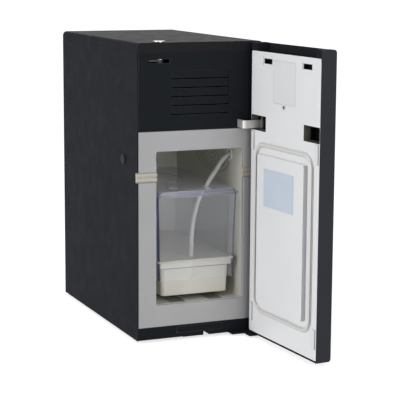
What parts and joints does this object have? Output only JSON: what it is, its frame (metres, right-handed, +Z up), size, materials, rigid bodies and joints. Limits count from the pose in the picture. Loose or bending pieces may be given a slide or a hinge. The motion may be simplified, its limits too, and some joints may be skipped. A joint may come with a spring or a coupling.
{
  "type": "milk cooler",
  "caption": "Slim upright milk cooler with an open side-hung door, a clear lidded milk vessel on a white base box inside, a hose, front louvres and a key lock.",
  "frame": {"origin": "centre of the front foot rail's underside, on the surface the cooler stands on", "axes": "+Z up, +Y from the front to the back, +X to the right as seen from the front, which is the door's hinge side"},
  "size_m": [0.2479, 0.6439, 0.5149],
  "materials": {
    "case_black": "fine textured dark grey",
    "panel_black": "matte black",
    "frame_grey": "fine-grained mid grey",
    "liner_grey": "satin light grey",
    "door_white": "satin white",
    "gasket_grey": "soft grey",
    "base_white": "satin off-white",
    "clear_plastic": "clear",
    "silicone": "translucent",
    "hose_clear": "translucent, filled",
    "rubber_black": "matte black",
    "steel": "satin",
    "chrome": "polished",
    "aluminium": "plain",
    "black_plastic": "satin black",
    "foam": "rigid foam",
    "board_green": "coated board",
    "label_blue": "pale blue, bare",
    "module_white": "ceramic faces"
  },
  "bodies": {
    "cabinet": {"base_tray": "steel", "kick_plate": "case_black", "front_foot_rail": "rubber_black", "rear_foot_rail": "rubber_black", "left_side_panel": "case_black", "right_side_panel": "case_black", "back_panel": "case_black", "top_cover": "case_black", "upper_front_panel": "panel_black", "front_frame": "frame_grey", "cavity_liner": "liner_grey", "foam_insulation": "foam", "divider_plate": "steel", "tube_insert_left": "silicone", "tube_insert_right": "silicone", "left_port_nut": "black_plastic", "hose_fitting": "black_plastic", "fitting_nut": "black_plastic", "upper_hinge_strap": "steel", "lower_hinge_bracket": "case_black", "lower_hinge_pin": "steel", "bracket_screw_inner": "steel", "bracket_screw_outer": "steel", "lock_barrel": "chrome", "fan_frame": "black_plastic", "hot_heat_sink": "aluminium", "thermoelectric_module": "module_white", "cold_plate": "aluminium", "power_supply": "aluminium", "power_inlet": "black_plastic", "milk_hose": "hose_clear"},
    "lock": {"lock_plug": "steel", "lock_cam": "steel", "lock_cam_nut": "steel"},
    "fan": {"fan_rotor": "black_plastic"},
    "kick_access": {"kick_cover": "case_black"},
    "port_stopper": {"left_port_plug": "rubber_black"},
    "container_base": {"base_box": "base_white"},
    "container_vessel": {"milk_vessel": "clear_plastic"},
    "container_lid": {"vessel_lid": "clear_plastic"},
    "door": {"door_shell": "case_black", "display_lens": "black_plastic", "door_liner": "door_white", "display_board": "board_green", "strike_pocket_lock_side": "black_plastic", "strike_pocket_hinge_side": "black_plastic", "hinge_pocket_cup": "black_plastic", "spare_hinge_pocket_cup": "black_plastic", "upper_hinge_pin": "steel", "magnet_upper_hinge_side": "door_white", "magnet_lower_hinge_side": "door_white", "magnet_upper_lock_side": "door_white", "magnet_lower_lock_side": "door_white", "door_gasket": "gasket_grey", "label_plate": "label_blue", "door_foam": "foam", "lower_hinge_bush": "black_plastic"},
    "hatch": {"hatch_cover": "door_white", "hatch_screw": "steel"}
  },
  "joints": [
    {"name": "door_hinge", "type": "hinge", "parent": "cabinet", "child": "door", "pos_m": [0.1053, -0.0975, 0.005], "axis": [0, 0, 1], "range_deg": [-93.2, 9]},
    {"name": "lock_turn", "type": "hinge", "parent": "cabinet", "child": "lock", "pos_m": [-0.07, -0.06, 0.495], "axis": [0, 0, 1], "range_deg": [0, 90]},
    {"name": "container_slide", "type": "slide", "parent": "cabinet", "child": "container_base", "axis": [0, -1, 0], "range_m": [0, 0.3], "deforming": ["milk_hose"]},
    {"name": "vessel_lift", "type": "slide", "parent": "container_base", "child": "container_vessel", "axis": [0, 0, 1], "range_m": [0, 0.035]},
    {"name": "lid_lift", "type": "slide", "parent": "container_vessel", "child": "container_lid", "axis": [0, 0, 1], "range_m": [0, 0.035]},
    {"name": "kick_cover_pull", "type": "slide", "parent": "cabinet", "child": "kick_access", "axis": [0, -1, 0], "range_m": [0, 0.012]},
    {"name": "fan_spin", "type": "hinge", "parent": "cabinet", "child": "fan", "pos_m": [0, -0.0617, 0.43017], "axis": [0, 1, 0], "continuous": true},
    {"name": "hatch_pull", "type": "slide", "parent": "door", "child": "hatch", "axis": [-0.9984, -0.0558, 0], "range_m": [0, 0.015]},
    {"name": "left_plug_pull", "type": "slide", "parent": "cabinet", "child": "port_stopper", "axis": [-1, 0, 0], "range_m": [0, 0.02]}
  ]
}
